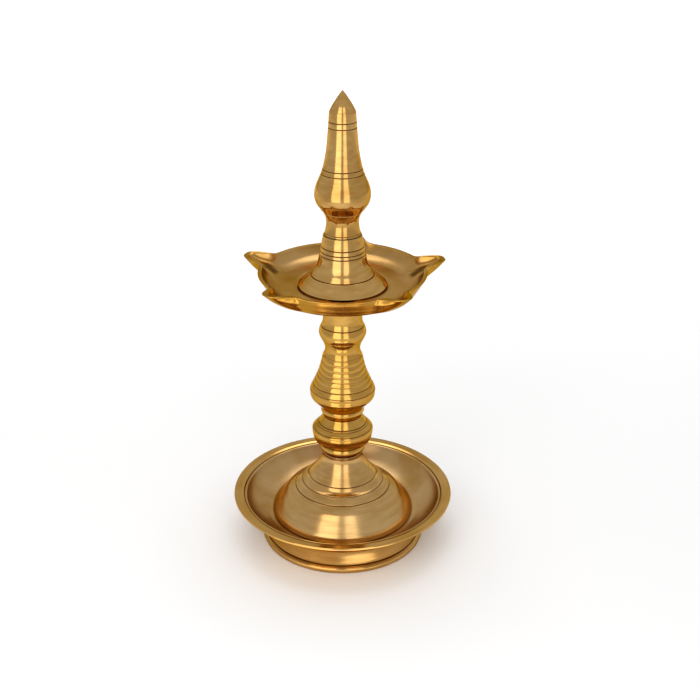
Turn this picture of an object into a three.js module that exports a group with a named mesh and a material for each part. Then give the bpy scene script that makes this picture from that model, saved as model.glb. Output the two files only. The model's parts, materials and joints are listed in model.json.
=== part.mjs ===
// A brass standing oil lamp (samai): a dished foot, a turned stem in three members, a shallow
// oil bowl with five wick spouts, and a two-piece spire. Millimetres, +Z up, the lamp's axis on
// Z, the foot's resting face at z = 0 and the front towards -Y.
//
// Every section is a casting turned on a lathe. A steel stud runs from a nut under the dish, up
// through the dome and into the stem. The spire column's long spigot passes through the bowl,
// screws into the stem and clamps the bowl on it, and the finial screws into the column. Threads
// are drawn as plain cylinders, a spigot in a socket.

import * as THREE from 'three';

// ---- driving dimensions -------------------------------------------------------------------

const TOTAL_HEIGHT = 305;
const GAP = 0.3;                  // running and seating gap between neighbours
const WASHER_THICKNESS = 0.6;     // leather washer between two turned faces
const JOINT = WASHER_THICKNESS + 2 * GAP;

const FOOT_RADIUS = 54.6;
const DISH_RADIUS = 73.6;         // rim of the drip dish, the widest part
const DISH_TOP = 32.2;
const DISH_FLOOR = 18.0;          // upper face of the dish floor, which the dome stands on
const DISH_UNDERSIDE = 15.4;
const BOSS_BOTTOM = 13.0;         // underside of the dish's thick centre
const DOME_RADIUS = 47.6;
const NECK_RADIUS = 13.3;
const NECK_TOP = 62.6;

const STEM_BOTTOM = NECK_TOP + JOINT;
const BEAD_RADIUS = 20.15;        // widest part of the lower knob
const BEAD_TOP = 89.6;            // where the ribbed bell stands on the lower knob
const BELL_RADIUS = 21.45;
const BELL_TOP = 133.2;           // where the upper knob stands on the ribbed bell
const KNOB_RADIUS = 15.3;         // widest part of the upper knob
const STEM_TOP = 166.2;

const BOWL_BOTTOM = STEM_TOP + JOINT;
const BOWL_FLOOR = 182.0;
const RIM_RADIUS = 53.4;
const RIM_TOP = 190.7;
const SPOUT_AZIMUTHS = [13, 85, 160, 227, 305];   // degrees from +X towards +Y
const SPOUT_TIP_RADIUS = 67.4;
const SPOUT_TIP_TOP = 193.3;
const SPOUT_HALF_ANGLE = 8.6;     // degrees off its centre where a spout is down to 1/e
const CHANNEL_HALF_ANGLE = 6.4;   // the same, for the wick channel inside it
const SPOUT_FULLNESS = 2.6;       // how blunt a spout is: higher is squarer-ended

const FLANGE_RADIUS = 28.0;       // the column's spreading foot in the bowl
const COLUMN_TOP = 214.5;
const FINIAL_BOTTOM = COLUMN_TOP + JOINT;
const BULB_RADIUS = 17.5;         // widest part of the finial

const STUD_RADIUS = 5.0;
const STUD_BOTTOM = 1.8;
const STUD_TOP = 75.4;
const STUD_HOLE = STUD_RADIUS + 0.6;
const NUT_FLATS = 17;
const NUT_HEIGHT = 7.0;
const STEEL_WASHER_THICKNESS = 1.7;
const STEM_SPIGOT = 6.0;          // spigot radius on the stem members and the column
const FINIAL_SPIGOT = 5.0;
const CHAMFER = 0.6;
const SEAL_THICKNESS = 1.0;       // seal round the column's spigot, inside the bowl

const WIDE_SIDES = 40;            // sides of the dish and dome
const STEM_SIDES = 28;            // sides of the stem and spire
const SMALL_SIDES = 20;           // sides of washers and the stud
const BOWL_COLUMNS = 80;          // sections round the bowl

// ---- materials ------------------------------------------------------------------------------

const standard = (color, roughness, metalness) =>
  new THREE.MeshStandardMaterial({ color, roughness, metalness });
const brass = () => standard(0xb98a3c, 0.22, 1.0);
const steel = () => standard(0x8d8f92, 0.4, 1.0);
const leather = () => standard(0x3b2a1d, 0.8, 0.0);

// ---- outlines and turned solids ---------------------------------------------------------------

// A smooth stretch of an outline, from the corner before it through these [radius, height] points.
const curve = (...points) => ({ points });

// Outlines list [radius, height] corners and smooth stretches, with the metal on their left.
function outlinePoints(parts) {
  const points = [];
  for (const part of parts) {
    if (Array.isArray(part)) {
      points.push(new THREE.Vector2(...part));
      continue;
    }
    const through = part.points.map((point) => new THREE.Vector2(...point));
    const spline = new THREE.SplineCurve([points[points.length - 1], ...through]);
    points.push(...spline.getPoints(through.length).slice(1));
  }
  return points;
}

// A solid of revolution about Z. An outline that starts on the axis ends on it; any other is
// closed into a ring.
function turned(parts, sides) {
  const points = outlinePoints(parts);
  if (points[0].x > 0) points.push(points[0].clone());
  const geometry = new THREE.LatheGeometry(points, sides);
  geometry.rotateX(Math.PI / 2);
  return geometry;
}

function ring(innerRadius, outerRadius, bottom, height) {
  return turned([
    [innerRadius, bottom], [outerRadius, bottom],
    [outerRadius, bottom + height], [innerRadius, bottom + height],
  ], SMALL_SIDES);
}

// The lower end of a spigot, from the axis to its full radius.
const spigotEnd = (radius, bottom) => (
  [[0, bottom], [radius - CHAMFER, bottom], [radius, bottom + CHAMFER]]);

// ---- base: dish, dome, and the stud that holds them --------------------------------------------

function dish() {
  return turned([
    [48.8, 0], [FOOT_RADIUS - 0.6, 0], [FOOT_RADIUS, 0.7], [FOOT_RADIUS, 2.6],
    [53.2, 3.6], [51.4, 3.8], [51.4, 4.6], [52.5, 5.0],
    curve([51.6, 10.0], [52.8, 15.4], [60.9, 21.9], [68.4, 29.6]),
    [DISH_RADIUS - 0.6, 30.2], [DISH_RADIUS, 30.8],
    [DISH_RADIUS, DISH_TOP - 0.5], [DISH_RADIUS - 0.6, DISH_TOP],
    [67.3, 31.3], [66.7, 30.6], [66.1, 31.1], [65.3, 30.9],
    curve([63.2, 27.6], [59.2, 23.4], [53.8, 19.6], [49.2, DISH_FLOOR]),
    [STUD_HOLE, DISH_FLOOR], [STUD_HOLE, BOSS_BOTTOM], [12.0, BOSS_BOTTOM],
    [14.5, DISH_UNDERSIDE], [46.0, DISH_UNDERSIDE], [48.8, 12.6],
  ], WIDE_SIDES);
}

function dome() {
  const foot = DISH_FLOOR + GAP;
  return turned([
    [44.2, foot], [DOME_RADIUS - 0.2, foot], [DOME_RADIUS, foot + 0.4],
    curve([42.3, 26.0], [36.9, 32.0], [32.0, 37.0], [27.3, 41.3], [22.6, 45.0],
      [18.5, 50.0], [15.2, 54.6], [NECK_RADIUS, 59.6]),
    [NECK_RADIUS, NECK_TOP], [STUD_HOLE, NECK_TOP], [STUD_HOLE, 52.0], [10.5, 52.0],
    [15.0, 48.0], [20.8, 42.2], [30.0, 34.4], [39.0, 24.6],
  ], WIDE_SIDES);
}

function stud() {
  return turned([
    ...spigotEnd(STUD_RADIUS, STUD_BOTTOM),
    [STUD_RADIUS, STUD_TOP - CHAMFER], [STUD_RADIUS - CHAMFER, STUD_TOP], [0, STUD_TOP],
  ], SMALL_SIDES);
}

function hexNut(top) {
  const hexagon = new THREE.Shape();
  const cornerRadius = NUT_FLATS / 2 / Math.cos(Math.PI / 6);
  for (let corner = 0; corner < 6; corner += 1) {
    const angle = corner * Math.PI / 3;
    const place = corner === 0 ? 'moveTo' : 'lineTo';
    hexagon[place](cornerRadius * Math.cos(angle), cornerRadius * Math.sin(angle));
  }
  hexagon.closePath();
  const hole = new THREE.Path().absarc(0, 0, STUD_RADIUS + GAP, 0, 2 * Math.PI, true);
  hexagon.holes.push(hole);
  const options = { depth: NUT_HEIGHT, bevelEnabled: false, curveSegments: SMALL_SIDES / 2 };
  const geometry = new THREE.ExtrudeGeometry(hexagon, options);
  geometry.translate(0, 0, top - NUT_HEIGHT);
  return geometry;
}

// ---- stem: lower knob, ribbed bell, upper knob --------------------------------------------------

function lowerKnob() {
  const socketTop = STUD_TOP + 1.2;
  const spigotTop = 101.0;
  return turned([
    [0, socketTop], [STUD_RADIUS + GAP, socketTop], [STUD_RADIUS + GAP, STEM_BOTTOM],
    [13.6, STEM_BOTTOM], [14.7, STEM_BOTTOM + 0.7], [14.7, 67.9], [14.3, 68.5],
    curve([18.2, 71.6], [19.6, 74.6], [BEAD_RADIUS, 78.4]),
    [20.05, 80.2], [19.2, 81.3],
    curve([17.3, 83.2], [14.9, 86.0], [12.7, 89.0]),
    [12.6, BEAD_TOP], [STEM_SPIGOT, BEAD_TOP],
    [STEM_SPIGOT, spigotTop - CHAMFER], [STEM_SPIGOT - CHAMFER, spigotTop], [0, spigotTop],
  ], STEM_SIDES);
}

function ribbedBell() {
  const bottom = BEAD_TOP + GAP;
  const socket = STEM_SPIGOT + GAP;
  return turned([
    [0, 102.2], [socket, 102.2], [socket, bottom],
    [12.6, bottom], [13.4, 91.6], [14.45, 92.2], [14.45, 95.2],
    curve([18.4, 101.0], [21.0, 104.2], [BELL_RADIUS, 106.6], [21.35, 108.6]),
    curve([20.1, 111.5], [18.1, 116.0], [16.1, 120.5], [14.2, 126.5], [13.0, BELL_TOP]),
    [socket, BELL_TOP], [socket, 121.4], [0, 121.4],
  ], STEM_SIDES);
}

function upperKnob() {
  const socket = STEM_SPIGOT + GAP;
  return turned([
    ...spigotEnd(STEM_SPIGOT, 122.6), [STEM_SPIGOT, BELL_TOP + GAP], [12.1, BELL_TOP + GAP],
    curve([11.5, 137.4], [13.4, 144.6], [KNOB_RADIUS, 149.6], [13.2, 156.0], [12.65, 159.4]),
    [12.65, 162.2], [12.2, 162.7], [12.65, 163.2], [12.65, STEM_TOP],
    [socket, STEM_TOP], [socket, 149.8], [0, 149.8],
  ], STEM_SIDES);
}

// ---- oil bowl -----------------------------------------------------------------------------------

// Half sections of the bowl: from the hole along the underside, up the outer wall, over the rim,
// down the inner wall and back along the floor. One runs between two spouts and the other
// through the middle of a spout, and their points pair off one to one.
const BOWL_HOLE = STEM_SPIGOT + 2 * GAP;
const PLAIN_SECTION = [
  [BOWL_HOLE, BOWL_BOTTOM], [12.8, BOWL_BOTTOM], [15.5, 171.2], [23.0, 175.0], [34.0, 177.4],
  [42.0, 178.4], [46.3, 179.4], [48.2, 181.6], [50.3, 185.2], [52.2, 188.2],
  [RIM_RADIUS, 190.2], [RIM_RADIUS - 0.5, RIM_TOP],
  [50.9, RIM_TOP - 0.3], [49.2, 187.2], [47.2, 185.0], [44.4, 183.3], [41.2, 182.3],
  [38.0, BOWL_FLOOR], [BOWL_HOLE, BOWL_FLOOR],
];
const SPOUT_SECTION = [
  [BOWL_HOLE, BOWL_BOTTOM], [12.8, BOWL_BOTTOM], [15.5, 171.2], [23.0, 175.0], [34.0, 177.4],
  [42.0, 178.4], [49.0, 180.0], [54.6, 183.0], [60.0, 186.6], [64.8, 190.6],
  [SPOUT_TIP_RADIUS, 192.8], [SPOUT_TIP_RADIUS - 0.5, SPOUT_TIP_TOP],
  [65.0, 192.8], [60.0, 189.6], [54.0, 186.8], [48.0, 184.3], [42.6, 182.6],
  [38.0, BOWL_FLOOR], [BOWL_HOLE, BOWL_FLOOR],
];
const FIRST_EDGE_ROW = 10;
const FIRST_CHANNEL_ROW = 12;

// How near this azimuth is to the middle of a spout: 1 there, falling smoothly to 0.
function spoutReach(azimuth, halfAngle) {
  const offsets = SPOUT_AZIMUTHS.map((centre) => {
    const turn = (azimuth - centre + 900) % 360 - 180;
    return Math.exp(-(Math.abs(turn / halfAngle) ** SPOUT_FULLNESS));
  });
  return Math.max(...offsets);
}

// The rim climbs at once where a spout begins, so a spout's side walls stand as high as its tip.
const rimClimb = (reach) => reach ** 0.4;

function bowlPoint(row, azimuth) {
  const halfAngle = row < FIRST_CHANNEL_ROW ? SPOUT_HALF_ANGLE : CHANNEL_HALF_ANGLE;
  const reach = spoutReach(azimuth, halfAngle);
  const onEdge = row >= FIRST_EDGE_ROW && row <= FIRST_CHANNEL_ROW;
  const [plainRadius, plainHeight] = PLAIN_SECTION[row];
  const [spoutRadius, spoutHeight] = SPOUT_SECTION[row];
  const radius = THREE.MathUtils.lerp(plainRadius, spoutRadius, reach);
  const height = THREE.MathUtils.lerp(plainHeight, spoutHeight, onEdge ? rimClimb(reach) : reach);
  const angle = azimuth * Math.PI / 180;
  return [radius * Math.cos(angle), radius * Math.sin(angle), height];
}

// The azimuth of each section. Every spout has the same number of them, crowded to its middle.
function bowlAzimuth(column) {
  const spouts = SPOUT_AZIMUTHS.length;
  const perSpout = BOWL_COLUMNS / spouts;
  const spout = Math.floor(column / perSpout) % spouts;
  const place = 2 * (column % perSpout) / perSpout - 1;
  const centre = SPOUT_AZIMUTHS[spout];
  const neighbour = SPOUT_AZIMUTHS[(spout + (place < 0 ? spouts - 1 : 1)) % spouts];
  const halfSpan = Math.abs((neighbour - centre + 540) % 360 - 180) / 2;
  return centre + Math.sign(place) * halfSpan * Math.abs(place) ** 1.4;
}

function oilBowl() {
  const section = PLAIN_SECTION.map((point) => new THREE.Vector2(...point));
  section.push(section[0].clone());
  const geometry = new THREE.LatheGeometry(section, BOWL_COLUMNS);
  const position = geometry.attributes.position;
  for (let vertex = 0; vertex < position.count; vertex += 1) {
    const row = (vertex % section.length) % PLAIN_SECTION.length;
    const column = Math.floor(vertex / section.length);
    position.setXYZ(vertex, ...bowlPoint(row, bowlAzimuth(column % BOWL_COLUMNS)));
  }
  return geometry;
}

// ---- spire: column and finial -------------------------------------------------------------------

function spireColumn() {
  const sealTop = BOWL_FLOOR + SEAL_THICKNESS + 2 * GAP;
  const flangeFoot = BOWL_FLOOR + GAP;
  const socket = FINIAL_SPIGOT + GAP;
  return turned([
    ...spigotEnd(STEM_SPIGOT, 151.0), [STEM_SPIGOT, sealTop], [12.2, sealTop],
    [12.2, flangeFoot], [FLANGE_RADIUS - 0.3, flangeFoot], [FLANGE_RADIUS, flangeFoot + 0.4],
    [20.5, 189.3], [20.1, 189.9],
    curve([17.9, 192.9], [16.2, 195.6], [15.2, 199.0], [14.2, 204.0], [12.4, COLUMN_TOP - 0.6]),
    [11.9, COLUMN_TOP], [socket, COLUMN_TOP], [socket, 202.0], [0, 202.0],
  ], STEM_SIDES);
}

function spireFinial() {
  return turned([
    ...spigotEnd(FINIAL_SPIGOT, 203.2), [FINIAL_SPIGOT, FINIAL_BOTTOM], [11.25, FINIAL_BOTTOM],
    curve([10.45, 220.0], [10.3, 225.4], [12.4, 230.2]),
    curve([16.0, 235.2], [BULB_RADIUS, 241.2], [16.9, 245.6], [14.8, 251.0], [13.0, 255.6]),
    curve([11.2, 262.2], [9.9, 270.4], [8.85, 282.0], [8.1, 292.2]),
    curve([5.9, 296.5], [3.0, 301.0], [0, TOTAL_HEIGHT]),
  ], STEM_SIDES);
}

// ---- assembly -----------------------------------------------------------------------------------

const lamp = new THREE.Group();

function addPiece(name, geometry, material) {
  const mesh = new THREE.Mesh(geometry, material);
  mesh.name = name;
  lamp.add(mesh);
}

const washerBottom = BOSS_BOTTOM - GAP - STEEL_WASHER_THICKNESS;
const columnBore = STEM_SPIGOT + 2 * GAP;
const finialBore = FINIAL_SPIGOT + 2 * GAP;

addPiece('base_dish', dish(), brass());
addPiece('base_dome', dome(), brass());
addPiece('base_stud', stud(), steel());
addPiece('base_washer', ring(STUD_HOLE, 11, washerBottom, STEEL_WASHER_THICKNESS), steel());
addPiece('base_nut', hexNut(washerBottom - GAP), steel());
addPiece('stem_washer', ring(STUD_HOLE, 12.6, NECK_TOP + GAP, WASHER_THICKNESS), leather());
addPiece('lower_knob', lowerKnob(), brass());
addPiece('ribbed_bell', ribbedBell(), brass());
addPiece('upper_knob', upperKnob(), brass());
addPiece('bowl_seat_washer', ring(columnBore, 12.1, STEM_TOP + GAP, WASHER_THICKNESS), leather());
addPiece('oil_bowl', oilBowl(), brass());
addPiece('bowl_seal_washer', ring(columnBore, 11.6, BOWL_FLOOR + GAP, SEAL_THICKNESS), leather());
addPiece('spire_column', spireColumn(), brass());
addPiece('spire_washer', ring(finialBore, 11.2, COLUMN_TOP + GAP, WASHER_THICKNESS), leather());
addPiece('spire_finial', spireFinial(), brass());

export default lamp;
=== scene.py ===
"""A brass standing oil lamp (samai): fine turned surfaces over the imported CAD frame.

Outlines are (radius, height) in millimetres above the table, and each turned piece is then set
to its CAD node's own box. Blender's units are metres.
"""

import json
import math

import bpy
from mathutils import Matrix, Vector


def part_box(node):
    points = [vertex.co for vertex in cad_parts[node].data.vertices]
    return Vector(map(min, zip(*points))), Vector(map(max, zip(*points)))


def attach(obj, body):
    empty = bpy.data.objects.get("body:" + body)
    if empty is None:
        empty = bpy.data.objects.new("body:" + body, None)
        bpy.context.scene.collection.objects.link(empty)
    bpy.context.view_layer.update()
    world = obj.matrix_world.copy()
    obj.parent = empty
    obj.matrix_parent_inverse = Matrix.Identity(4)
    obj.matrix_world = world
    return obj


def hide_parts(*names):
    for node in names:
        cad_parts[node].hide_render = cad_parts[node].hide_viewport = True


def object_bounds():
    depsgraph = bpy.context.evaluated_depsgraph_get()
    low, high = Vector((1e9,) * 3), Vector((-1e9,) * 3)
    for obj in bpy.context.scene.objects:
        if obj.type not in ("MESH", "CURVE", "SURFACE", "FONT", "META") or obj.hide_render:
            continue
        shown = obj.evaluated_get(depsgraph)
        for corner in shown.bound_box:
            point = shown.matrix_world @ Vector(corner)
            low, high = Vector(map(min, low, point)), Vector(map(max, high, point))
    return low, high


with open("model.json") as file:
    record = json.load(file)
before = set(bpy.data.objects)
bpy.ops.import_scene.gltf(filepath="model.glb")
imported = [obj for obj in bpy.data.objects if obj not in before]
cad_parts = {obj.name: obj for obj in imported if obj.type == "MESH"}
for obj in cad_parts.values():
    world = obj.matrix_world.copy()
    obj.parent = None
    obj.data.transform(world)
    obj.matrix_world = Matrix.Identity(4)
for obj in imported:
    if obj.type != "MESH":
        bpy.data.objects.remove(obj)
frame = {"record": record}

MM = 0.001
TURNS = 160          # sides of a turned piece
BOWL_COLUMNS = 600
CURVE_STEPS = 40                           # points on each stretch of a curve
ARC_STEPS = 24                             # points on a bulge
OUTLINE_STEP = 0.55                        # between rows of a turned piece, away from its lines
CLOSEST_ROWS = 0.02
THREAD_SIDES = 40
GROOVE_WIDTH = 0.34                        # of a fine turned line
GROOVE_DEPTH = 0.42

CAD_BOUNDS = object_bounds()


# ---- materials ----------------------------------------------------------------------------------

def new_material(name):
    material = bpy.data.materials.new(name)
    material.use_nodes = True
    tree = material.node_tree
    shader = tree.nodes["Principled BSDF"]
    return material, tree, shader


def add(tree, kind, **settings):
    node = tree.nodes.new(kind)
    for key, value in settings.items():
        setattr(node, key, value)
    return node


def math_node(tree, operation, first, second=0.0):
    node = add(tree, "ShaderNodeMath", operation=operation)
    for socket, value in zip(node.inputs, (first, second)):
        if isinstance(value, (int, float)):
            socket.default_value = value
        else:
            tree.links.new(value, socket)
    return node.outputs[0]


def noise(tree, vector, scale, detail=3.0):
    node = add(tree, "ShaderNodeTexNoise")
    node.inputs["Scale"].default_value = scale
    node.inputs["Detail"].default_value = detail
    tree.links.new(vector, node.inputs["Vector"])
    return node.outputs["Fac"]


def ramp(tree, factor, *stops):
    node = add(tree, "ShaderNodeValToRGB")
    elements = node.color_ramp.elements
    while len(elements) < len(stops):
        elements.new(0.5)
    for element, (position, color) in zip(elements, stops):
        element.position = position
        element.color = (*color, 1.0)
    tree.links.new(factor, node.inputs["Fac"])
    return node.outputs["Color"]


def mix(tree, factor, first, second):
    node = add(tree, "ShaderNodeMix", data_type="RGBA")
    tree.links.new(factor, node.inputs["Factor"])
    for socket, value in ((node.inputs["A"], first), (node.inputs["B"], second)):
        if isinstance(value, tuple):
            socket.default_value = (*value, 1.0)
        else:
            tree.links.new(value, socket)
    return node.outputs["Result"]


def multiply(tree, factor, first, second):
    node = add(tree, "ShaderNodeMix", data_type="RGBA", blend_type="MULTIPLY")
    node.inputs["Factor"].default_value = factor
    tree.links.new(first, node.inputs["A"])
    tree.links.new(second, node.inputs["B"])
    return node.outputs["Result"]


def attribute(tree, name):
    return add(tree, "ShaderNodeAttribute", attribute_name=name).outputs["Fac"]


def bump(tree, shader, height, strength, distance):
    node = add(tree, "ShaderNodeBump")
    node.inputs["Strength"].default_value = strength
    node.inputs["Distance"].default_value = distance
    tree.links.new(height, node.inputs["Height"])
    tree.links.new(node.outputs["Normal"], shader.inputs["Normal"])


def lathe_space(tree):
    """A vector that changes quickly along the outline (UV's V) and slowly round the axis."""
    uv = add(tree, "ShaderNodeUVMap", uv_map="turning")
    parts = add(tree, "ShaderNodeSeparateXYZ")
    tree.links.new(uv.outputs["UV"], parts.inputs["Vector"])
    line = add(tree, "ShaderNodeCombineXYZ")
    tree.links.new(math_node(tree, "MULTIPLY", parts.outputs["X"], 0.03), line.inputs["X"])
    tree.links.new(parts.outputs["Y"], line.inputs["Y"])
    return line.outputs["Vector"]


# Dark residue in the turned grooves; on the oil bowl the same colour also paints the shade and
# soot of the wick slots.
RESIDUE_AND_SLOT_SHADE = (0.10, 0.045, 0.012)
OILY = (0.42, 0.235, 0.075)
OILY_PALE = (0.54, 0.35, 0.165)


def brass(name, bright, warm, roughness, marks):
    """Polished brass: warm patches, turned bands, lathe marks and dark residue in the grooves.

    The mesh attribute "dull" marks oily hollows that the polishing wheel doesn't reach, and
    "groove" marks dark residue; on the oil bowl "groove" also carries the painted shade, with
    soot, of the wick slots. marks is the strength of the lathe marks.
    """
    material, tree, shader = new_material(name)
    position = add(tree, "ShaderNodeTexCoord").outputs["Object"]
    lathe = lathe_space(tree)
    patches = noise(tree, position, 30.0, 5.0)
    freckles = noise(tree, position, 420.0, 2.0)
    bands = noise(tree, lathe, 330.0, 2.0)
    dull = attribute(tree, "dull")
    groove = attribute(tree, "groove")

    tone = ramp(tree, patches, (0.38, warm), (0.60, bright))
    tone = multiply(tree, 0.35, tone,
                    ramp(tree, freckles, (0.60, (1.0, 1.0, 1.0)), (0.80, (0.86, 0.78, 0.66))))
    tone = multiply(tree, 0.8, tone,
                    ramp(tree, bands, (0.36, (0.84, 0.79, 0.72)), (0.60, (1.0, 1.0, 1.0))))
    film = ramp(tree, patches, (0.40, OILY), (0.58, OILY_PALE))
    tone = mix(tree, math_node(tree, "MULTIPLY", dull, 0.85), tone, film)
    # Residue in the grooves, and painted shade with soot in the oil bowl's wick slots.
    tree.links.new(mix(tree, groove, tone, RESIDUE_AND_SLOT_SHADE), shader.inputs["Base Color"])

    rough = math_node(tree, "MULTIPLY_ADD", patches, 0.10)
    rough.node.inputs[2].default_value = roughness - 0.05
    rough = math_node(tree, "ADD", rough, math_node(tree, "MULTIPLY", dull, 0.15))
    tree.links.new(math_node(tree, "MAXIMUM", rough, math_node(tree, "MULTIPLY", groove, 0.5)),
                   shader.inputs["Roughness"])

    fine = noise(tree, lathe, 2600.0, 1.0)
    coarse = noise(tree, lathe, 480.0, 2.0)
    lathe_marks = math_node(tree, "ADD", math_node(tree, "MULTIPLY", fine, 0.45), coarse)
    bump(tree, shader, lathe_marks, marks, 0.00012)
    shader.inputs["Metallic"].default_value = 1.0
    shader.inputs["Specular Tint"].default_value = (0.72, 0.54, 0.32, 1.0)
    return material


def zinc_steel():
    material, tree, shader = new_material("zinc_steel")
    position = add(tree, "ShaderNodeTexCoord").outputs["Object"]
    spangle = noise(tree, position, 260.0, 4.0)
    tree.links.new(ramp(tree, spangle, (0.35, (0.40, 0.40, 0.42)), (0.7, (0.62, 0.61, 0.58))),
                   shader.inputs["Base Color"])
    tree.links.new(math_node(tree, "MULTIPLY_ADD", spangle, 0.3), shader.inputs["Roughness"])
    bump(tree, shader, spangle, 0.2, 0.0002)
    shader.inputs["Metallic"].default_value = 1.0
    return material


def oiled_leather():
    material, tree, shader = new_material("oiled_leather")
    position = add(tree, "ShaderNodeTexCoord").outputs["Object"]
    grain = add(tree, "ShaderNodeTexVoronoi")
    grain.inputs["Scale"].default_value = 1500.0
    tree.links.new(position, grain.inputs["Vector"])
    mottle = noise(tree, position, 180.0)
    tree.links.new(ramp(tree, mottle, (0.3, (0.035, 0.020, 0.012)), (0.7, (0.11, 0.062, 0.035))),
                   shader.inputs["Base Color"])
    bump(tree, shader, grain.outputs["Distance"], 0.5, 0.0002)
    shader.inputs["Roughness"].default_value = 0.6
    return material


TURNED_BRASS = brass("turned_brass", (0.62, 0.375, 0.125), (0.54, 0.30, 0.08), 0.13, 0.22)
DOME_BRASS = brass("dome_brass", (0.62, 0.395, 0.16), (0.54, 0.315, 0.105), 0.19, 0.22)
STEM_BRASS = brass("stem_brass", (0.62, 0.355, 0.085), (0.53, 0.28, 0.05), 0.13, 0.22)
CAST_BRASS = brass("cast_brass", (0.53, 0.285, 0.055), (0.43, 0.215, 0.03), 0.16, 0.2)
STEEL = zinc_steel()
LEATHER = oiled_leather()


# ---- outlines -----------------------------------------------------------------------------------

class Curve:
    """A smooth stretch, from the corner before it through these points."""
    def __init__(self, *points):
        self.points = [Vector(point) for point in points]


class Bulge:
    """A shallow arc from the corner before it to this point, standing out by height."""
    def __init__(self, end, height):
        self.end = Vector(end)
        self.height = height


def catmull_rom(points, steps):
    """Points of a smooth curve through these ones, without the first."""
    ends = [points[0] * 2 - points[1], *points, points[-1] * 2 - points[-2]]
    curve = []
    for a, b, c, d in zip(ends, ends[1:], ends[2:], ends[3:]):
        for step in range(1, steps + 1):
            t = step / steps
            curve.append(0.5 * (2 * b + (c - a) * t + (2 * a - 5 * b + 4 * c - d) * t * t
                                + (3 * b - 3 * c + d - a) * t ** 3))
    return curve


def trace(parts):
    """The outline as a dense list of points, with each corner's place in it."""
    points, corners = [], []
    for part in parts:
        if isinstance(part, Curve):
            points += catmull_rom([points[-1], *part.points], CURVE_STEPS)
        elif isinstance(part, Bulge):
            start = points[-1]
            chord = part.end - start
            out = Vector((chord.y, -chord.x)).normalized() * part.height
            points += [start + chord * t + out * 4 * t * (1 - t)
                       for t in (step / ARC_STEPS for step in range(1, ARC_STEPS + 1))]
        else:
            points.append(Vector(part))
        corners.append(len(points) - 1)
    return points, corners


def distances(points):
    lengths = [0.0]
    for a, b in zip(points, points[1:]):
        lengths.append(lengths[-1] + (b - a).length)
    return lengths


def resample(parts, grooves):
    """Evenly spaced outline points, closer at grooves, as (point, share of depth, distance).

    A groove is (point, width, depth): it is cut square to the surface at the outline's nearest
    point to the one given.
    """
    points, corners = trace(parts)
    lengths = distances(points)
    places = [lengths[corner] for corner in corners]
    places += [OUTLINE_STEP * count for count in range(int(lengths[-1] / OUTLINE_STEP))]
    centres = []
    for point, width, depth in grooves:
        nearest = min(range(len(points)), key=lambda i: (points[i] - Vector(point)).length)
        centres.append((lengths[nearest], width, depth))
        places += [lengths[nearest] + width * step / 3 for step in range(-7, 8)]
    places = sorted(place for place in places if 0 <= place <= lengths[-1])
    deepest = max((depth for _, _, depth in centres), default=1.0)
    result, index, last = [], 0, None
    for place in places:
        if last is not None and place - last < CLOSEST_ROWS:
            continue
        last = place
        while index < len(lengths) - 2 and lengths[index + 1] < place:
            index += 1
        span = max(lengths[index + 1] - lengths[index], 1e-9)
        along = points[index + 1] - points[index]
        point = points[index] + along * ((place - lengths[index]) / span)
        inward = Vector((-along.y, along.x)).normalized()
        sink = sum(depth * math.exp(-((place - centre) / width * 1.6) ** 2)
                   for centre, width, depth in centres)
        result.append((point + inward * sink, min(1.0, sink / deepest), place))
    return result


# ---- meshes -------------------------------------------------------------------------------------

def make_object(name, vertices, faces, material, uvs=None, attributes=None, sharp_angle=32):
    mesh = bpy.data.meshes.new(name)
    mesh.from_pydata(vertices, [], faces)
    mesh.materials.append(material)
    if uvs:
        layer = mesh.uv_layers.new(name="turning")
        for polygon in mesh.polygons:
            for loop in polygon.loop_indices:
                layer.data[loop].uv = uvs[mesh.loops[loop].vertex_index]
    for key, values in (attributes or {}).items():
        mesh.attributes.new(key, "FLOAT", "POINT").data.foreach_set("value", values)
    mesh.shade_smooth()
    mesh.set_sharp_from_angle(angle=math.radians(sharp_angle))
    mesh.validate()
    piece = bpy.data.objects.new(name, mesh)
    bpy.context.scene.collection.objects.link(piece)
    return piece


def place_piece(piece, node):
    body = next(name for name, nodes in frame["record"]["behaviour"]["bodies"].items()
                if node in nodes)
    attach(piece, body)
    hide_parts(node)


def ring_faces(rows, columns, closed_rows):
    faces = []
    for row in range(rows if closed_rows else rows - 1):
        above = (row + 1) % rows
        for column in range(columns):
            beside = (column + 1) % columns
            faces.append((row * columns + column, row * columns + beside,
                          above * columns + beside, above * columns + column))
    return faces


def turned(name, node, parts, grooves=(), material=None, hollow=None):
    """A turned piece that takes its height and its widest radius from its CAD node's box.

    hollow is (inner radius, outer radius, lowest height) of a hollow that has gone dull.
    """
    low, high = (Vector(corner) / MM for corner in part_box(node))
    samples = resample(parts, grooves)
    lift = low.z - min(point.y for point, _, _ in samples)
    widen = (high.x - low.x) / 2 / max(point.x for point, _, _ in samples)
    vertices, uvs, groove, dull = [], [], [], []
    for point, sunk, place in samples:
        radius = max(point.x, 0.001) * widen
        inside = hollow is not None and hollow[0] < point.x < hollow[1] and point.y > hollow[2]
        for column in range(TURNS):
            angle = 2 * math.pi * column / TURNS
            vertices.append((radius * math.cos(angle) * MM, radius * math.sin(angle) * MM,
                             (point.y + lift) * MM))
            uvs.append((column / TURNS, place * MM))
            groove.append(sunk)
            dull.append(float(inside))
    closed = parts[0][0] > 0
    faces = ring_faces(len(samples), TURNS, closed)
    if not closed:
        faces.append(tuple(reversed(range(TURNS))))
        faces.append(tuple(range(len(vertices) - TURNS, len(vertices))))
    piece = make_object(name, vertices, faces, material or TURNED_BRASS, uvs,
                        {"groove": groove, "dull": dull})
    place_piece(piece, node)


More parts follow.
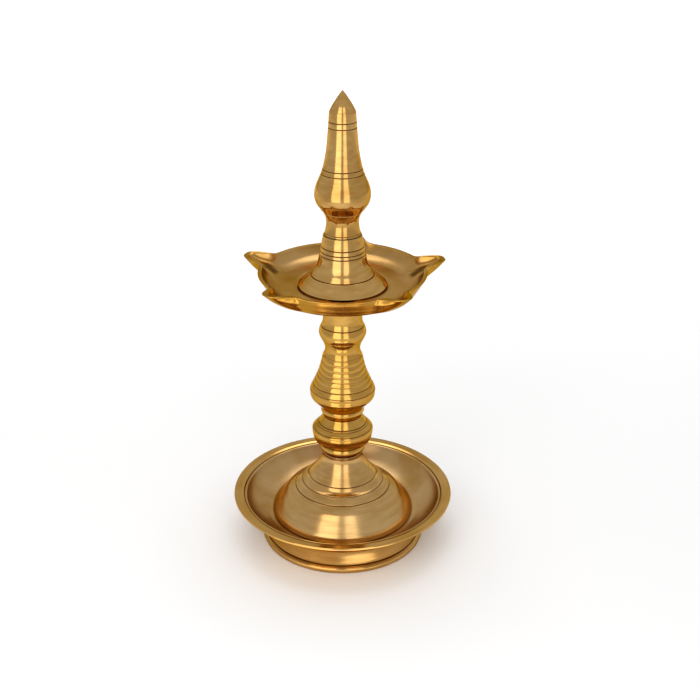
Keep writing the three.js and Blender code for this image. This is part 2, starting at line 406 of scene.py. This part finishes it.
def thread(name, body, core, crest, bottom, top, pitch, material):
    """A right-handed screw thread: a ridge of triangular section wound round a plain core."""
    count = int((top - bottom) / pitch * THREAD_SIDES)
    root = core - 0.15
    vertices, faces = [], []
    for index in range(count + 1):
        angle = 2 * math.pi * index / THREAD_SIDES
        height = bottom + pitch * index / THREAD_SIDES
        fade = min(1.0, index / THREAD_SIDES * 2, (count - index) / THREAD_SIDES * 2)
        ridge = core + (crest - core) * fade
        section = ((root, -0.48), (ridge, -0.06), (ridge, 0.06), (root, 0.48))
        for radius, offset in section:
            vertices.append((radius * math.cos(angle) * MM, radius * math.sin(angle) * MM,
                             (height + offset * pitch) * MM))
    for index in range(count):
        here, there = index * 4, index * 4 + 4
        for side in range(4):
            after = (side + 1) % 4
            faces.append((here + side, there + side, there + after, here + after))
    faces.append((0, 1, 2, 3))
    faces.append(tuple(count * 4 + side for side in (3, 2, 1, 0)))
    piece = make_object(name, vertices, faces, material, sharp_angle=25)
    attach(piece, body)


def line(radius, height, width=GROOVE_WIDTH, depth=GROOVE_DEPTH):
    return ((radius, height), width, depth)


# ---- base ---------------------------------------------------------------------------------------

def base():
    turned("dish", "base_dish", [
        (48.8, 0.3), (49.1, 0), (54.0, 0), Bulge((54.0, 3.5), 0.6), (53.2, 3.9),
        (52.3, 4.6), (52.6, 5.4),
        Curve((52.4, 9.0), (52.6, 13.0), (53.4, 16.0), (55.6, 18.6), (60.4, 22.2),
              (65.0, 26.6), (68.4, 29.6)),
        (69.2, 30.1), (72.9, 30.3), Bulge((73.2, 32.1), 0.4), (68.6, 31.75), (67.2, 31.2),
        (66.7, 30.5), (66.2, 31.0), Bulge((64.9, 30.4), 0.25),
        Curve((63.6, 28.0), (61.5, 25.3), (58.4, 22.6), (54.6, 20.2), (50.6, 18.4), (48.0, 18.0)),
        (5.6, 18.0), (5.6, 13.0), (12.0, 13.0), (14.5, 15.4), (46.0, 15.4), (48.8, 12.6),
    ], [line(52.4, 4.8, 0.5, 0.5), line(66.7, 30.5, 0.45, 0.35), line(53.6, 3.6, 0.3, 0.15)],
        hollow=(44.0, 66.0, 17.9))
    turned("dome", "base_dome", [
        (44.2, 18.3), (47.4, 18.3), (47.6, 18.6),
        Curve((47.3, 19.8), (46.8, 21.1), (46.0, 22.4), (44.6, 24.05), (42.9, 26.1),
              (41.0, 28.4), (38.9, 30.9), (36.9, 33.2), (34.5, 35.2), (32.0, 37.05)),
        Curve((29.6, 39.1), (27.3, 41.2)),
        Curve((25.6, 41.95), (24.2, 42.9), (23.3, 44.1), (22.6, 45.3)),
        Curve((18.6, 50.0), (15.7, 54.0), (13.9, 57.5), (13.3, 60.4)),
        (13.3, 62.4), (13.1, 62.6), (5.6, 62.6), (5.6, 52.0), (10.5, 52.0),
        (15.0, 48.0), (20.8, 42.2), (30.0, 34.4), (39.0, 24.6),
    ], [line(22.6, 45.3), line(27.3, 41.2), line(31.8, 37.05)], DOME_BRASS)
    turned("stud", "base_stud", [
        (0, 1.8), (3.8, 1.8), (4.3, 2.3), (4.3, 13.6), (5.0, 14.4), (5.0, 60.0),
        (4.3, 60.7), (4.3, 74.9), (3.8, 75.4), (0, 75.4),
    ], material=STEEL)
    thread("stud_lower_thread", "base", 4.3, 5.0, 2.6, 13.2, 1.5, STEEL)
    thread("stud_upper_thread", "base", 4.3, 5.0, 61.4, 74.6, 1.5, STEEL)
    turned("steel_washer", "base_washer", [
        (5.6, 11.1), (5.7, 11.0), (10.8, 11.0), (11.0, 11.2), (11.0, 12.5), (10.8, 12.7),
        (5.7, 12.7), (5.6, 12.6),
    ], material=STEEL)
    hex_nut()


def hex_nut():
    """A hexagon nut with its corners turned down to a chamfer at both faces."""
    low, high = (Vector(corner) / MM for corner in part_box("base_nut"))
    flat, bore, columns = (high.y - low.y) / 2, 5.3, 96
    vertices = []
    for row in range(6):
        for column in range(columns):
            angle = 2 * math.pi * column / columns
            hexagon = flat / math.cos(angle % (math.pi / 3) - math.pi / 6)
            chamfer = 0.35 + (hexagon - flat) * 0.58
            radius, height = (
                (bore, low.z), (flat - 0.5, low.z), (hexagon, low.z + chamfer),
                (hexagon, high.z - chamfer), (flat - 0.5, high.z), (bore, high.z))[row]
            vertices.append((radius * math.cos(angle) * MM, radius * math.sin(angle) * MM,
                             height * MM))
    piece = make_object("hex_nut", vertices, ring_faces(6, columns, True), STEEL, sharp_angle=18)
    place_piece(piece, "base_nut")


# ---- stem ---------------------------------------------------------------------------------------

RIB_LINES = ((21.2, 109.7), (19.3, 113.2), (17.9, 116.6), (16.6, 119.5), (15.6, 122.1),
             (14.6, 125.5), (13.7, 129.3), (12.9, 132.9))
LEATHER_BORES = {"stem_washer": 5.6, "bowl_seat_washer": 6.6, "bowl_seal_washer": 6.6,
                 "spire_washer": 5.6}


def stem():
    turned("knob_below_bell", "lower_knob", [
        (0, 76.6), (5.3, 76.6), (5.3, 63.8), (13.7, 63.8), (14.1, 64.0),
        Bulge((14.1, 68.0), 0.65), (14.0, 68.4), (14.4, 68.7),
        Curve((16.3, 69.9), (18.1, 71.4), (19.3, 73.8), (19.9, 76.4), (20.15, 78.6),
              (20.1, 80.0), (19.5, 81.1)),
        Curve((18.3, 82.3), (16.8, 83.8), (15.4, 85.3), (14.2, 87.2), (13.2, 88.8)),
        (12.8, 89.5), (12.6, 89.6), (5.2, 89.6), (5.2, 100.5), (4.8, 101.0), (0, 101.0),
    ], [line(19.5, 81.1), line(16.9, 83.6, 0.26, 0.3), line(15.9, 84.7),
        line(14.2, 68.5, 0.3, 0.3)], STEM_BRASS)
    turned("bell_with_ribs", "ribbed_bell", [
        (0, 102.2), (6.3, 102.2), (6.3, 89.9), (12.3, 89.9), (12.6, 90.1),
        Curve((12.9, 91.0), (13.7, 91.9)), Bulge((14.0, 95.3), 0.5), (14.2, 95.7),
        Curve((15.2, 97.1), (17.1, 99.5), (18.9, 101.4), (20.5, 103.2), (21.25, 104.9),
              (21.45, 106.9)),
        *(Bulge(point, 0.22) for point in RIB_LINES),
        (12.85, 133.42), (6.3, 133.42), (6.3, 121.4), (0, 121.4),
    ], [line(*point, 0.30, 0.26) for point in RIB_LINES[:2]]
        + [line(*point, 0.30, 0.09) for point in RIB_LINES[2:]] + [line(14.1, 95.5, 0.3, 0.3)],
        STEM_BRASS)
    turned("knob_above_bell", "upper_knob", [
        (0, 122.6), (4.8, 122.6), (5.2, 123.1), (5.2, 133.5), (12.6, 133.5), (12.75, 133.62),
        Curve((12.3, 134.5), (11.75, 135.8), (11.4, 137.8), (11.65, 140.0), (12.5, 142.6),
              (13.4, 144.5)),
        Curve((14.5, 146.6), (15.15, 148.4), (15.3, 149.9), (14.9, 152.0), (14.1, 154.0)),
        Curve((13.3, 155.7), (12.85, 157.4), (12.66, 159.4)),
        (12.65, 165.9), (12.45, 166.2), (6.3, 166.2), (6.3, 149.8), (0, 149.8),
    ], [line(14.0, 154.3), line(13.4, 144.55, 0.3, 0.22), line(12.65, 164.3, 0.35, 0.14)],
        STEM_BRASS)
    leather_ring("stem_leather", "stem_washer")
    leather_ring("seat_leather", "bowl_seat_washer")


def leather_ring(name, node):
    """A cut leather washer with softened edges, the size of its CAD node."""
    low, high = (Vector(corner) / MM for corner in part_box(node))
    inner, outer, soft = LEATHER_BORES[node], high.x, 0.15
    turned(name, node, [
        (inner, low.z + soft), (inner + soft, low.z), (outer - soft, low.z),
        (outer, low.z + soft), (outer, high.z - soft), (outer - soft, high.z),
        (inner + soft, high.z), (inner, high.z - soft),
    ], material=LEATHER)


# ---- bowl ---------------------------------------------------------------------------------------

SPOUT_AZIMUTHS = (13, 85, 160, 227, 305)
SPOUT_HALF_ANGLE = 8.8
CHANNEL_HALF_ANGLE = 6.8
SPOUT_FULLNESS = 3.0
CHANNEL_FULLNESS = 2.0
BOWL_HOLE = 6.6

# Half sections of the bowl as smooth stretches that meet at corners: the underside, the outer
# wall up to the rim, the rim itself, and the inner wall down to the floor and back to the hole.
# The plain one runs between two spouts, the other through a spout, and their points pair off.
PLAIN_SECTION = (
    ((BOWL_HOLE, 167.4), (12.6, 167.4)),
    ((12.6, 167.4), (13.4, 169.0), (15.6, 171.4), (22.0, 174.6), (33.0, 177.3), (42.0, 178.5),
     (46.4, 179.6), (48.3, 182.0), (50.2, 185.1), (52.0, 188.0), (53.1, 189.9)),
    ((53.1, 189.9), (53.35, 190.35), (53.15, 190.7), (52.4, 190.75), (50.9, 190.35)),
    ((50.9, 190.35), (50.1, 188.6), (48.8, 186.5), (47.0, 184.7), (44.2, 183.2), (41.2, 182.3),
     (38.0, 182.0), (30.0, 182.0)),
    ((30.0, 182.0), (BOWL_HOLE, 182.0)),
)
SPOUT_SECTION = (
    ((BOWL_HOLE, 167.4), (12.6, 167.4)),
    ((12.6, 167.4), (13.4, 169.0), (15.6, 171.4), (22.0, 174.6), (33.0, 177.3), (42.0, 178.5),
     (49.0, 180.4), (54.6, 183.6), (59.7, 187.2), (63.8, 190.7), (66.2, 192.9)),
    ((66.2, 192.9), (66.8, 193.45), (66.65, 193.85), (65.9, 193.95), (64.5, 193.3)),
    ((64.5, 193.3), (61.2, 191.3), (57.4, 189.3), (53.6, 187.9), (50.0, 186.4), (45.4, 183.7),
     (38.0, 182.0), (30.0, 182.0)),
    ((30.0, 182.0), (BOWL_HOLE, 182.0)),
)
RIM_STRETCH = 2
RIM_HEIGHT = 189.5
SECTION_STEPS = 6
# The painted dark strip in each spout's channel: painted shade of a deep wick slot, with soot,
# this far out from the axis and this long and wide.
SLOT_DARK_RADIUS = 48.8
SLOT_DARK_HALF_LENGTH = 5.4
SLOT_DARK_HALF_WIDTH = 3.2


def spout_offset(azimuth):
    return min(abs((azimuth - centre + 180) % 360 - 180) for centre in SPOUT_AZIMUTHS)


def bowl_section(azimuth):
    """The bowl's half section at this azimuth, as dense (radius, height) points."""
    points = []
    outer = math.exp(-(spout_offset(azimuth) / SPOUT_HALF_ANGLE) ** SPOUT_FULLNESS)
    inner = math.exp(-(spout_offset(azimuth) / CHANNEL_HALF_ANGLE) ** CHANNEL_FULLNESS)
    for index, (plain, spout) in enumerate(zip(PLAIN_SECTION, SPOUT_SECTION)):
        reach = outer if index <= RIM_STRETCH else inner
        blended = []
        for place, (a, b) in enumerate(zip(plain, spout)):
            on_rim = index == RIM_STRETCH or a[1] > RIM_HEIGHT
            climb = outer ** 0.4 if on_rim else reach
            blended.append(Vector((a[0] + (b[0] - a[0]) * reach, a[1] + (b[1] - a[1]) * climb)))
        steps = 1 if len(blended) == 2 else SECTION_STEPS
        points += [blended[0], *catmull_rom(blended, steps)][:-1]
    return points


def wick_slot_shade_and_soot(azimuth, radius):
    """How dark a spout's channel is painted, most along its middle where the wick lies: painted
    shade of a deep wick slot that the mesh doesn't cut, with soot.
    """
    sideways = radius * math.radians(spout_offset(azimuth))
    along = 1.0 - abs(radius - SLOT_DARK_RADIUS) / SLOT_DARK_HALF_LENGTH
    return max(0.0, min(1.0, along * 2.4)) * math.exp(-(sideways / SLOT_DARK_HALF_WIDTH) ** 6)


def oil_film(radius):
    """How dull the inside has gone: most on the floor, less out along the spouts."""
    return 0.75 - 0.45 * max(0.0, min(1.0, (radius - 46.0) / 8.0))


def oil_bowl():
    vertices, uvs, slot_shade_and_soot, dull = [], [], [], []
    azimuths = [360 * column / BOWL_COLUMNS for column in range(BOWL_COLUMNS)]
    sections = [bowl_section(azimuth) for azimuth in azimuths]
    lengths = [distances(section) for section in sections]
    rows = len(sections[0])
    top_row = max(range(rows), key=lambda row: sections[BOWL_COLUMNS // 8][row].y)
    for row in range(rows):
        inside = row > top_row + 3
        for column, section in enumerate(sections):
            angle = math.radians(azimuths[column])
            radius, height = section[row]
            vertices.append((radius * math.cos(angle) * MM, radius * math.sin(angle) * MM,
                             height * MM))
            uvs.append((column / BOWL_COLUMNS, lengths[column][row] * MM))
            # Painted shade of the wick slots, with soot, darkening the middle of each spout's
            # channel.
            slot_shade_and_soot.append(0.9 * wick_slot_shade_and_soot(azimuths[column], radius) if inside else 0.0)
            dull.append(oil_film(radius) if inside else 0.0)
    piece = make_object("oil_bowl_casting", vertices, ring_faces(rows, BOWL_COLUMNS, True),
                        CAST_BRASS, uvs, {"groove": slot_shade_and_soot, "dull": dull}, sharp_angle=50)
    place_piece(piece, "oil_bowl")


# ---- spire --------------------------------------------------------------------------------------

def spire():
    turned("column", "spire_column", [
        (0, 151.0), (4.8, 151.0), (5.2, 151.5), (5.2, 166.8), (6.0, 167.6), (6.0, 183.6),
        (12.2, 183.6), (12.2, 182.05), (27.8, 182.05), (28.0, 182.3),
        Curve((25.4, 184.8), (22.6, 187.2), (20.4, 189.4)),
        Curve((18.4, 192.4), (16.5, 195.1), (15.4, 198.3), (14.8, 201.6), (14.2, 204.2),
              (13.65, 206.8), (13.1, 210.4), (12.5, 213.2)),
        (12.25, 215.0), (12.0, 215.3), (11.5, 215.3), (11.4, 214.5), (5.3, 214.5),
        (5.3, 202.0), (0, 202.0),
    ], [line(20.4, 189.5, 0.42, 0.4), line(14.55, 202.7), line(14.05, 204.9), line(13.45, 207.8)])
    thread("column_thread", "column", 5.2, 6.0, 151.8, 166.2, 2.0, TURNED_BRASS)
    turned("finial", "spire_finial", [
        (0, 203.2), (3.9, 203.2), (4.3, 203.7), (4.3, 215.7), (11.6, 215.7), (11.75, 215.85),
        Curve((11.2, 216.9), (10.6, 219.4), (10.2, 222.4), (10.3, 225.2), (10.95, 227.6),
              (12.2, 230.1)),
        Curve((13.4, 231.6), (15.1, 233.9), (16.5, 236.2), (17.3, 239.0), (17.5, 241.4),
              (17.1, 244.8), (16.1, 248.0), (14.8, 251.0), (13.5, 254.1), (12.3, 257.8),
              (11.1, 263.0), (10.05, 269.2), (9.4, 275.6), (8.8, 283.0), (8.2, 291.6)),
        (7.95, 292.6), Curve((6.15, 296.1), (4.25, 299.1), (2.3, 302.1), (0.1, 305.0)), (0, 305.0),
    ], [line(8.5, 286.4), line(8.8, 282.8), line(12.4, 257.6), line(13.3, 254.7),
        line(12.3, 230.3, 0.3, 0.2), line(11.2, 216.8, 0.3, 0.2), line(8.0, 292.4, 0.2, 0.12)])
    thread("finial_thread", "finial", 4.3, 5.0, 204.0, 215.2, 2.0, TURNED_BRASS)
    leather_ring("seal_leather", "bowl_seal_washer")
    leather_ring("spire_leather", "spire_washer")


# ---- studio -------------------------------------------------------------------------------------

def softbox(name, azimuth, elevation, distance, size, power, target=(0, 0, 0.16), spread=180):
    """A soft panel light facing its target, out of the picture itself.

    Azimuth 0 is behind the camera, positive to its right.
    """
    turn, rise = math.radians(azimuth), math.radians(elevation)
    data = bpy.data.lights.new(name, "AREA")
    data.shape = "RECTANGLE"
    data.size, data.size_y = size
    data.energy = power
    data.spread = math.radians(spread)
    light = bpy.data.objects.new(name, data)
    away = Vector((math.sin(turn) * math.cos(rise), -math.cos(turn) * math.cos(rise),
                   math.sin(rise)))
    light.location = Vector(target) + away * distance
    light.rotation_euler = away.to_track_quat("Z", "Y").to_euler()
    light.visible_camera = False
    bpy.context.scene.collection.objects.link(light)


def studio():
    """Two upright banks with a dark gap between them, and cards on the floor that face up."""
    softbox("bank_left", -26.5, 0, 0.60, (0.39, 0.82), 1.8, (0, 0, 0.46))
    softbox("bank_right", 16.5, 0, 0.60, (0.24, 0.82), 0.85, (0, 0, 0.46))
    softbox("card_left", -26, -89.9, 0.001, (0.075, 0.11), 0.042, (-0.053, -0.108, 0.002))
    softbox("card_right", 16, -89.9, 0.001, (0.05, 0.11), 0.022, (0.036, -0.112, 0.002))
    softbox("overhead", 180, 74, 2.0, (1.8, 1.4), 13)
    softbox("background", 180, 89.9, 1.6, (3.2, 2.0), 12, (0, 1.7, 0), spread=70)
    world = bpy.data.worlds.new("studio")
    world.use_nodes = True
    world.node_tree.nodes["Background"].inputs["Color"].default_value = (1.0, 1.0, 1.0, 1.0)
    world.node_tree.nodes["Background"].inputs["Strength"].default_value = 0.66
    bpy.context.scene.world = world
    floor_mesh = bpy.data.meshes.new("floor")
    half = 12.0
    level = CAD_BOUNDS[0][2] - 0.0002
    floor_mesh.from_pydata([(-half, -half, level), (half, -half, level), (half, half, level),
                            (-half, half, level)], [], [(0, 1, 2, 3)])
    material, _, shader = new_material("paper")
    shader.inputs["Base Color"].default_value = (0.94, 0.94, 0.94, 1.0)
    shader.inputs["Roughness"].default_value = 0.9
    floor_mesh.materials.append(material)
    floor = bpy.data.objects.new("floor", floor_mesh)
    bpy.context.scene.collection.objects.link(floor)
    bpy.context.scene.view_settings.view_transform = "Standard"


def camera():
    """A long lens 722 mm in front of the axis, looking 25 degrees down."""
    data = bpy.data.cameras.new("camera")
    data.lens = 63.4
    data.sensor_width = 36.0
    data.shift_x = 0.0106
    lens = bpy.data.objects.new("camera", data)
    lens.location = (0, -0.722, 0.47407)
    lens.rotation_euler = (math.radians(90 - 25.1), 0, 0)
    bpy.context.scene.collection.objects.link(lens)
    bpy.context.scene.camera = lens


camera()
base()
stem()
oil_bowl()
spire()
studio()
